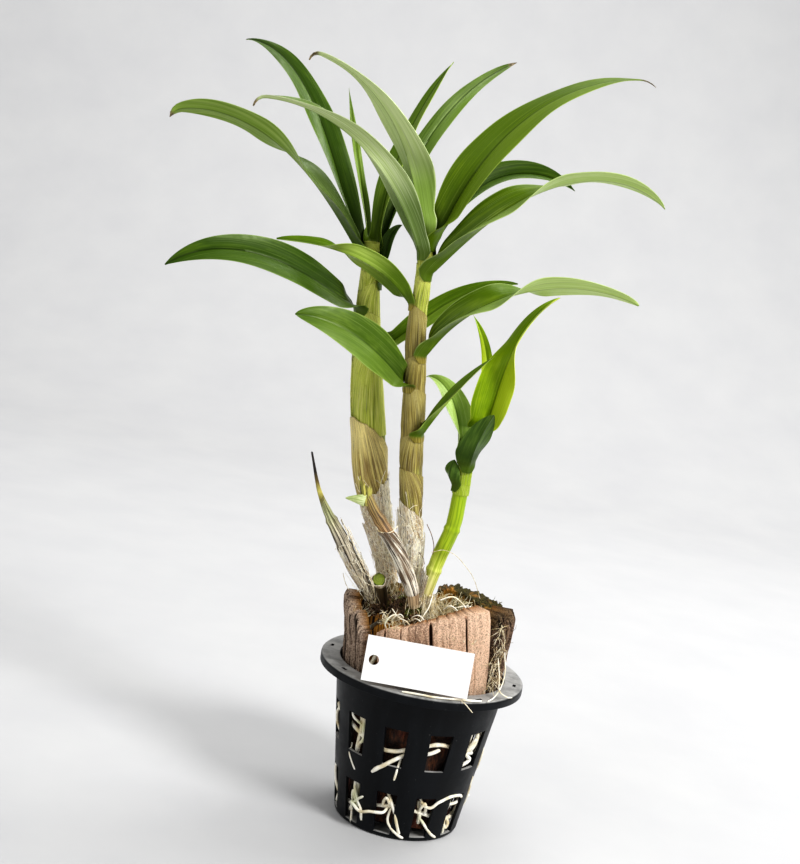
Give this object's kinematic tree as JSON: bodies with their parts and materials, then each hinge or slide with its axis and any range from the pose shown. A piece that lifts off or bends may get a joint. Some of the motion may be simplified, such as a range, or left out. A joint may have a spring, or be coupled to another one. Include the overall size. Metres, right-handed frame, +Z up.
{
  "type": "potted dendrobium orchid",
  "caption": "Leafy dendrobium orchid plant with upright canes, growing in coconut husk in a black slotted net pot with a blank white plant tag.",
  "frame": {"origin": "middle of the pot's flat underside, which stands on the surface", "axes": "+Z up, +X to the right and +Y away from the front, the side that has the tag"},
  "size_m": [0.2299, 0.1275, 0.3774],
  "materials": {
    "pot_plastic": "satin",
    "tag_card": "satin",
    "husk_pith": "matte",
    "husk_bark": "matte",
    "husk_ochre": "matte",
    "husk_dark": "matte",
    "root_cream": "satin",
    "cane_green": "satin",
    "cane_tan": "satin",
    "shoot_lime": "satin",
    "old_cane_grey": "matte",
    "old_cane_brown": "satin",
    "sheath_tan": "satin",
    "sheath_paper": "satin",
    "leaf_dark": "satin",
    "leaf_mid": "satin",
    "leaf_pale": "satin",
    "leaf_lime": "satin"
  },
  "bodies": {
    "root": {"pot": "pot_plastic", "tag": "tag_card", "husk_fill": "husk_dark", "husk_front": "husk_pith", "husk_left": "husk_bark", "husk_right": "husk_bark", "husk_back_right": "husk_ochre", "husk_back_left": "husk_bark", "roots": "root_cream", "cane_left": "cane_green", "cane_middle": "cane_tan", "shoot": "shoot_lime", "old_cane_left": "old_cane_grey", "old_cane_front": "old_cane_brown", "cut_stub": "cane_green", "sheath_left_tan": "sheath_tan", "sheath_left_paper": "sheath_paper", "sheath_middle_paper": "sheath_paper", "sheath_middle_tan": "sheath_tan", "sheath_old_front": "sheath_paper", "leaf_left_1": "leaf_mid", "leaf_left_2": "leaf_dark", "leaf_left_3": "leaf_dark", "leaf_left_4": "leaf_dark", "leaf_left_5": "leaf_dark", "leaf_left_6": "leaf_dark", "leaf_left_7": "leaf_mid", "leaf_left_8": "leaf_dark", "leaf_middle_1": "leaf_mid", "leaf_middle_2": "leaf_mid", "leaf_middle_3": "leaf_mid", "leaf_middle_4": "leaf_mid", "leaf_middle_5": "leaf_mid", "leaf_middle_6": "leaf_dark", "leaf_middle_7": "leaf_pale", "leaf_middle_8": "leaf_mid", "leaf_middle_9": "leaf_pale", "shoot_bract": "leaf_dark", "leaf_shoot_1": "leaf_dark", "leaf_shoot_2": "leaf_pale", "leaf_shoot_3": "leaf_lime", "leaf_shoot_4": "leaf_lime"}
  },
  "joints": []
}
